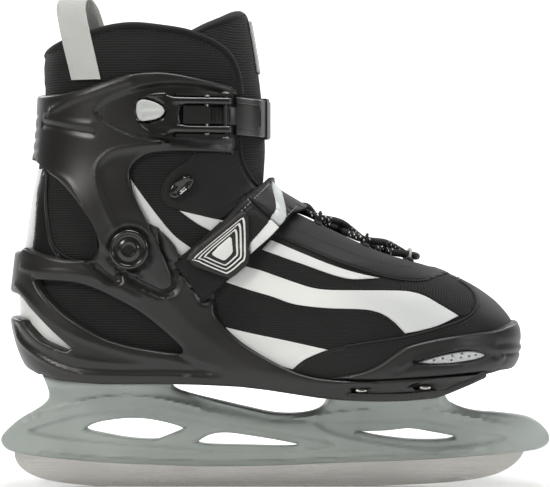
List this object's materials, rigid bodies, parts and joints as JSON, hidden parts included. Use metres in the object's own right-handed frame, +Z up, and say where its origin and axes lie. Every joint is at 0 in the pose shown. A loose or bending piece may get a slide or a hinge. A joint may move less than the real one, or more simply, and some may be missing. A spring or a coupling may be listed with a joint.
{
  "type": "ice skate",
  "caption": "Soft-boot ice skate for the right foot, with a steel runner in a grey holder, a pivoting ankle cuff, a ratchet buckle and an instep strap.",
  "frame": {"origin": "the middle of the runner's flat underside, halfway along the skate", "axes": "+X towards the toe, +Z up, -Y the outer side, which carries the buckle"},
  "size_m": [0.3274, 0.1153, 0.2892],
  "materials": {
    "runner_steel": "lengthwise brushed",
    "holder_plastic": "satin grey-green",
    "black_plastic": "satin black, moulded",
    "toe_rubber": "satin black",
    "vent_mesh": "silver mesh",
    "boot_fabric": "black mesh with white panels",
    "lining": "black plush",
    "board": "plain",
    "footbed": "flat textile",
    "pale_trim": "pale silver-grey",
    "webbing": "black webbing",
    "loop_tape": "light grey twill",
    "strap_skin": "satin black with a grey band",
    "badge_rubber": "black with pale inlaid lines",
    "lace_cord": "black with pale flecks",
    "hardware": "plain"
  },
  "bodies": {
    "foot": {"runner": "runner_steel", "blade_holder": "holder_plastic", "sole_chassis": "black_plastic", "toe_cap": "toe_rubber", "toe_vent_outer": "vent_mesh", "toe_vent_inner": "vent_mesh", "boot_vamp": "boot_fabric", "boot_quarter_outer": "boot_fabric", "boot_quarter_inner": "boot_fabric", "liner_vamp": "lining", "liner_quarter_outer": "lining", "liner_quarter_inner": "lining", "tongue_foot": "lining", "midsole_board": "board", "insole": "footbed", "pivot_bolt_outer": "black_plastic", "pivot_bolt_inner": "black_plastic", "pivot_nut_outer": "hardware", "pivot_nut_inner": "hardware", "strap_webbing": "webbing", "instep_strap": "strap_skin", "lace": "lace_cord", "lace_hook_outer": "black_plastic", "lace_hook_inner": "black_plastic", "heel_rivet_outer": "hardware", "heel_rivet_inner": "hardware", "instep_rivet": "hardware", "ball_rivet": "hardware", "toe_rivet_outer": "hardware", "toe_rivet_inner": "hardware", "lace_ring_outer_1": "pale_trim", "lace_ring_inner_1": "pale_trim", "lace_ring_outer_2": "webbing", "lace_ring_inner_2": "webbing", "lace_ring_outer_3": "webbing", "lace_ring_inner_3": "webbing"},
    "cuff": {"ankle_cuff": "black_plastic", "boot_collar": "boot_fabric", "liner_collar": "lining", "tongue_shaft": "lining", "tongue_label": "pale_trim", "pull_loop": "loop_tape", "buckle_base": "black_plastic", "buckle_rivet_1": "hardware", "buckle_rivet_2": "hardware", "lever_pin": "hardware", "ladder_strap": "black_plastic", "ladder_rivet": "hardware"},
    "lever": {"buckle_lever": "black_plastic", "pawl_pin": "hardware"},
    "pawl": {"ratchet_pawl": "black_plastic"},
    "release": {"release_tab": "pale_trim"},
    "strap_flap": {"strap_end": "strap_skin", "strap_badge": "badge_rubber"}
  },
  "joints": [
    {"name": "cuff_flex", "type": "hinge", "parent": "foot", "child": "cuff", "pos_m": [-0.084, 0, 0.142], "axis": [0, 1, 0], "range_deg": [-4, 6], "stiffness_Nm_per_rad": 12},
    {"name": "buckle_lever_hinge", "type": "hinge", "parent": "cuff", "child": "lever", "pos_m": [-0.02872, -0.0469, 0.2193], "axis": [0, 0, 1], "range_deg": [0, 100]},
    {"name": "pawl_click", "type": "hinge", "parent": "lever", "child": "pawl", "pos_m": [-0.03935, -0.04975, 0.2193], "axis": [0, 0, 1], "range_deg": [0, 16], "stiffness_Nm_per_rad": 0.05},
    {"name": "release_press", "type": "hinge", "parent": "lever", "child": "release", "pos_m": [-0.078, -0.0565, 0.2193], "axis": [0, 0, 1], "range_deg": [0, 7], "stiffness_Nm_per_rad": 0.05},
    {"name": "strap_peel", "type": "hinge", "parent": "foot", "child": "strap_flap", "pos_m": [-0.005, -0.0416, 0.1635], "axis": [-0.7268, 0.1165, 0.6769], "range_deg": [0, 60]}
  ]
}
